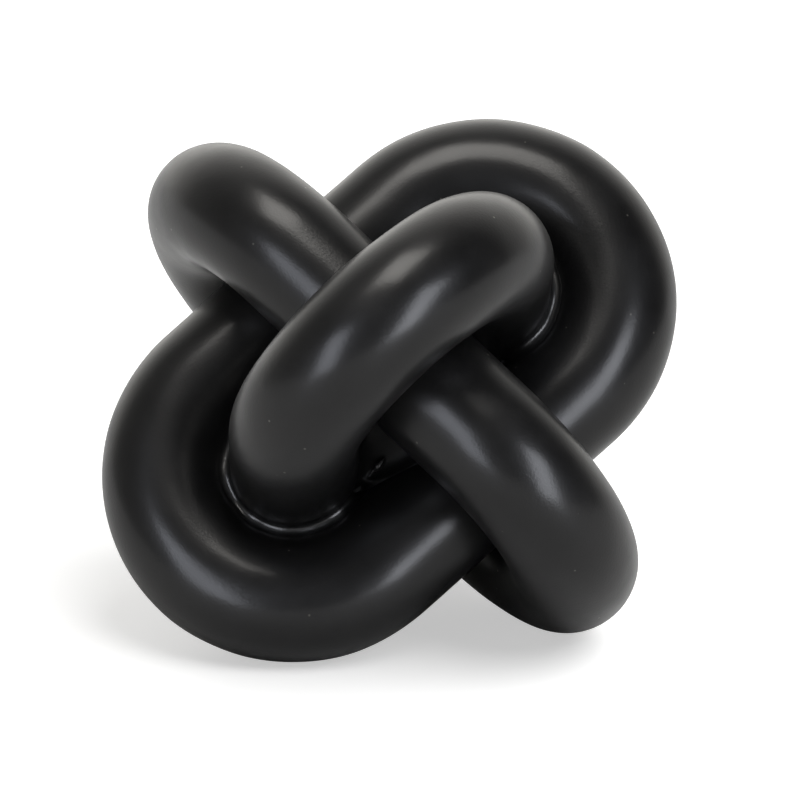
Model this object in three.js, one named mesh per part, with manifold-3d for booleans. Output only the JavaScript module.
import * as THREE from 'three';
import { mergeVertices } from 'three/addons/utils/BufferGeometryUtils.js';
import ManifoldModule from 'manifold-3d';

// A knot of three identical rings of round bar, each square to the other two.
// No two rings are linked, but every bend wraps a leg of the next ring, so the three hold together.
// Each ring is two U-shaped halves on dowels, closed round a hub that fills the middle.
// Millimetres, +Z up, with the origin on the table under the knot's centre and the front at -Y.

// Driving dimensions
const barDiameter = 26;
const glueFilm = 0.4;          // between a leg and the bend that wraps it
const buttGap = 0.3;           // glue line between the two halves of a ring
const dowelDiameter = 10;
const dowelLength = 30;
const dowelChamfer = 1;
const dowelClearance = 0.3;    // round a dowel and past each of its ends
const saddleClearance = 0.3;   // between the hub and each leg
const faceInset = 4.9;         // from a pocket's narrowest place in to the hub's dished face
const dishRadius = 12;
const dishDepth = 3;
const beadClearance = 0.3;     // between a glue bead and the bars on both sides of it
const beadRootWidth = 0.5;
const beadTopWidth = 1.3;
const beadCrown = 0.5;
const beadOverrun = 20;        // degrees that a bead runs on past each end of its bend
const flatDepth = 0.4;         // ground off the three bends that the knot rests on

// How far each ring is rocked about its short axis, in degrees, which slides its bends along
// the legs that they wrap
const crossLean = 2.6;
const archLean = 2.6;
const loopLean = -3;

// Facets
const barSides = 24;
const bendSteps = 16;
const dowelSides = 12;
const beadSteps = 12;
const ballSides = 20;

// Sizes that follow from them
const barRadius = barDiameter / 2;
const bendRadius = barDiameter + glueFilm;   // of a bend's centre line, and of the legs' offset
const bendCentre = bendRadius;               // along the ring from its centre, on the wrapped leg
const pocketThroat = bendRadius * Math.sqrt(3) / 2;
const hubFace = pocketThroat - faceInset;
const hubRadius = hubFace + dishDepth;

const wasm = await ManifoldModule();
wasm.setup();

function toSolid(geometry) {
  const bare = geometry.clone();
  bare.deleteAttribute('normal');
  bare.deleteAttribute('uv');
  const closed = mergeVertices(bare);
  return new wasm.Manifold(new wasm.Mesh({
    numProp: 3,
    vertProperties: Float32Array.from(closed.attributes.position.array),
    triVerts: Uint32Array.from(closed.index.array),
  }));
}

function toGeometry(solid) {
  const { vertProperties, triVerts } = solid.getMesh();
  const geometry = new THREE.BufferGeometry();
  geometry.setAttribute('position', new THREE.BufferAttribute(vertProperties, 3));
  geometry.setIndex(new THREE.BufferAttribute(triVerts, 1));
  geometry.computeVertexNormals();
  return geometry;
}

// The solid of a shape that is drawn in one holder's frame, as seen from another holder's frame
function solidSeenFrom(viewer, geometry, owner) {
  const move = viewer.matrixWorld.clone().invert().multiply(owner.matrixWorld);
  return toSolid(geometry.clone().applyMatrix4(move));
}

// A path whose stations are set by its own formula and not spaced evenly along its length
class StationPath extends THREE.Curve {
  constructor(pointAt) {
    super();
    this.getPoint = pointAt;
  }

  getPointAt(u) {
    return this.getPoint(u);
  }

  getTangentAt(u) {
    return this.getTangent(u);
  }
}

function circle(radius) {
  return new THREE.Shape().absarc(0, 0, radius, 0, 2 * Math.PI);
}

// Half rings. A ring lies in its own XY plane, long along X, and a half opens towards -X.

function halfPath() {
  const steps = bendSteps + 2;
  return new StationPath((u) => {
    const station = u * steps;
    if (station < 1) {
      return new THREE.Vector3(THREE.MathUtils.lerp(buttGap / 2, bendCentre, station), bendRadius, 0);
    }
    if (station > steps - 1) {
      const left = steps - station;
      return new THREE.Vector3(THREE.MathUtils.lerp(buttGap / 2, bendCentre, left), -bendRadius, 0);
    }
    const turn = Math.PI * (station - 1) / bendSteps;
    return new THREE.Vector3(
      bendCentre + bendRadius * Math.sin(turn),
      bendRadius * Math.cos(turn),
      0,
    );
  });
}

function halfBar(radius) {
  return new THREE.ExtrudeGeometry(circle(radius), {
    curveSegments: barSides / 2,
    steps: bendSteps + 2,
    extrudePath: halfPath(),
  });
}

function straightLeg(side, radius) {
  return new THREE.CylinderGeometry(radius, radius, 2 * bendRadius, barSides)
    .rotateZ(Math.PI / 2)
    .translate(0, side * bendRadius, 0);
}

function dowelBore(side) {
  const radius = dowelDiameter / 2 + dowelClearance;
  return new THREE.CylinderGeometry(radius, radius, dowelLength + 2 * dowelClearance, dowelSides)
    .rotateZ(Math.PI / 2)
    .translate(0, side * bendRadius, 0);
}

function floorBlock() {
  const reach = 4 * (bendCentre + bendRadius + barRadius);
  const depth = barDiameter;
  return new THREE.BoxGeometry(reach, reach, depth).translate(0, 0, -depth / 2);
}

function halfRing(holder, table) {
  return toSolid(halfBar(barRadius))
    .subtract(toSolid(dowelBore(1)))
    .subtract(toSolid(dowelBore(-1)))
    .subtract(solidSeenFrom(holder, floorBlock(), table));
}

function dowel(side) {
  return new THREE.ExtrudeGeometry(circle(dowelDiameter / 2 - dowelChamfer), {
    curveSegments: dowelSides / 2,
    depth: dowelLength - 2 * dowelChamfer,
    bevelSize: dowelChamfer,
    bevelThickness: dowelChamfer,
    bevelSegments: 1,
  })
    .translate(0, 0, dowelChamfer - dowelLength / 2)
    .rotateY(Math.PI / 2)
    .translate(0, side * bendRadius, 0);
}

// Glue beads. The crevice between a bend and the leg in it widens with height above the bend's
// middle, and a bead fills it from where its root fits to where its top does.

function heightWhereCreviceIs(width) {
  const reach = barRadius + glueFilm - width;
  return Math.sqrt(barRadius ** 2 - reach ** 2);
}

function beadProfile(face) {
  const root = heightWhereCreviceIs(beadRootWidth + 2 * beadClearance);
  const top = heightWhereCreviceIs(beadTopWidth + 2 * beadClearance);
  const inside = -beadTopWidth;
  const outside = 2 * beadTopWidth + 2 * beadClearance;
  const corners = [
    [inside, root],
    [outside, root],
    [outside, top],
    [(inside + outside) / 2, top + beadCrown],
    [inside, top],
  ];
  return new THREE.Shape(corners.map(([out, up]) => new THREE.Vector2(-face * up, -out)));
}

function beadPath() {
  const reach = Math.PI / 2 + THREE.MathUtils.degToRad(beadOverrun);
  return new StationPath((u) => {
    const turn = THREE.MathUtils.lerp(-reach, reach, u);
    return new THREE.Vector3(
      bendCentre + barRadius * Math.cos(turn),
      barRadius * Math.sin(turn),
      0,
    );
  });
}

function glueBead(holder, face, wrapped, legSide) {
  const blank = new THREE.ExtrudeGeometry(beadProfile(face), {
    steps: beadSteps,
    extrudePath: beadPath(),
  });
  const leg = straightLeg(legSide, barRadius + beadClearance);
  return toSolid(blank)
    .subtract(toSolid(halfBar(barRadius + beadClearance)))
    .subtract(solidSeenFrom(holder, leg, wrapped));
}

// The hub: a ball with a saddle for each leg and a dished face in each of the eight pockets

function hub(holder, rings) {
  let body = toSolid(new THREE.SphereGeometry(hubRadius, ballSides, ballSides / 2));
  for (const ring of rings) {
    for (const side of [1, -1]) {
      const leg = straightLeg(side, barRadius + saddleClearance);
      body = body.subtract(solidSeenFrom(holder, leg, ring.group));
    }
  }
  for (const x of [1, -1]) {
    for (const y of [1, -1]) {
      for (const z of [1, -1]) {
        const away = new THREE.Vector3(x, y, z).setLength(hubFace + dishRadius);
        const dish = new THREE.SphereGeometry(dishRadius, ballSides, ballSides / 2)
          .translate(away.x, away.y, away.z);
        body = body.subtract(toSolid(dish));
      }
    }
  }
  return body;
}

// Materials
const lacqueredBar = new THREE.MeshStandardMaterial({ color: '#161617', roughness: 0.38, metalness: 0 });
const lacqueredHub = new THREE.MeshStandardMaterial({ color: '#121213', roughness: 0.48, metalness: 0 });
const lacqueredBead = new THREE.MeshStandardMaterial({ color: '#1c1c1e', roughness: 0.3, metalness: 0 });
const dowelSteel = new THREE.MeshStandardMaterial({ color: '#8c8e90', roughness: 0.35, metalness: 1 });

function named(name, geometry, material) {
  const mesh = new THREE.Mesh(geometry, material);
  mesh.name = name;
  return mesh;
}

// The rings' axes in the knot's own frame. A ring's long axis is the short axis of the ring that
// its bends wrap. The first name of a pair is on the axis's positive side.
const first = new THREE.Vector3(1, 0, 0);
const second = new THREE.Vector3(0, 1, 0);
const third = new THREE.Vector3(0, 0, 1);
const rings = [
  {
    name: 'cross', long: second, short: third, lean: crossLean,
    ends: ['left', 'right'], legs: ['front', 'back'],
  },
  {
    name: 'arch', long: third, short: first, lean: archLean,
    ends: ['front', 'back'], legs: ['right', 'left'],
  },
  {
    name: 'loop', long: first, short: second, lean: loopLean,
    ends: ['right', 'left'], legs: ['upper', 'lower'],
  },
];

for (const ring of rings) {
  const square = new THREE.Vector3().crossVectors(ring.long, ring.short);
  ring.group = new THREE.Group();
  ring.group.quaternion.setFromRotationMatrix(
    new THREE.Matrix4().makeBasis(ring.long, ring.short, square),
  );
  ring.group.rotateY(THREE.MathUtils.degToRad(ring.lean));
}

// Where a ring's centre line lies lowest, when down is a direction in the knot's frame
function lowestCentre(ring, down) {
  const turn = ring.group.quaternion;
  const own = down.clone().applyQuaternion(turn.clone().invert());
  const bend = new THREE.Vector3(own.x, own.y, 0).setLength(bendRadius);
  bend.x += Math.sign(own.x) * bendCentre;
  return bend.applyQuaternion(turn);
}

// The knot stands on one bend of each ring. Up is square to the plane through those three lowest
// places, which shift a little as it turns, so it is found by repeating.
function restingUp() {
  const up = new THREE.Vector3(1, 1, 1).normalize();
  for (let turn = 0; turn < 20; turn += 1) {
    const down = up.clone().negate();
    const feet = rings.map((ring) => lowestCentre(ring, down));
    const { normal } = new THREE.Plane().setFromCoplanarPoints(...feet);
    up.copy(normal).multiplyScalar(Math.sign(normal.dot(up)));
  }
  return up;
}

const part = new THREE.Group();
const knot = new THREE.Group();
part.add(knot);

const up = restingUp();
const back = third.clone().negate().projectOnPlane(up).normalize();
const right = new THREE.Vector3().crossVectors(back, up);
knot.quaternion
  .setFromRotationMatrix(new THREE.Matrix4().makeBasis(right, back, up))
  .invert();
const footDrop = -lowestCentre(rings[0], up.clone().negate()).dot(up);
knot.position.z = footDrop + barRadius - flatDepth;

for (const ring of rings) {
  knot.add(ring.group);
  ring.halves = ring.ends.map((end, index) => {
    const half = named(`${ring.name}_ring_${end}`, undefined, lacqueredBar);
    half.rotation.z = index * Math.PI;
    ring.group.add(half);
    return half;
  });
}
part.updateMatrixWorld(true);

for (const ring of rings) {
  const wrapped = rings.find((other) => other.short === ring.long);
  ring.halves.forEach((half, index) => {
    const legSide = index === 0 ? 1 : -1;
    half.geometry = toGeometry(halfRing(half, part));
    [1, -1].forEach((face, count) => {
      const bead = toGeometry(glueBead(half, face, wrapped.group, legSide));
      half.add(named(`${ring.name}_${ring.ends[index]}_bead_${count + 1}`, bead, lacqueredBead));
    });
    ring.group.add(named(`${ring.name}_dowel_${ring.legs[index]}`, dowel(legSide), dowelSteel));
  });
}
knot.add(named('centre_hub', toGeometry(hub(knot, rings)), lacqueredHub));

export default part;
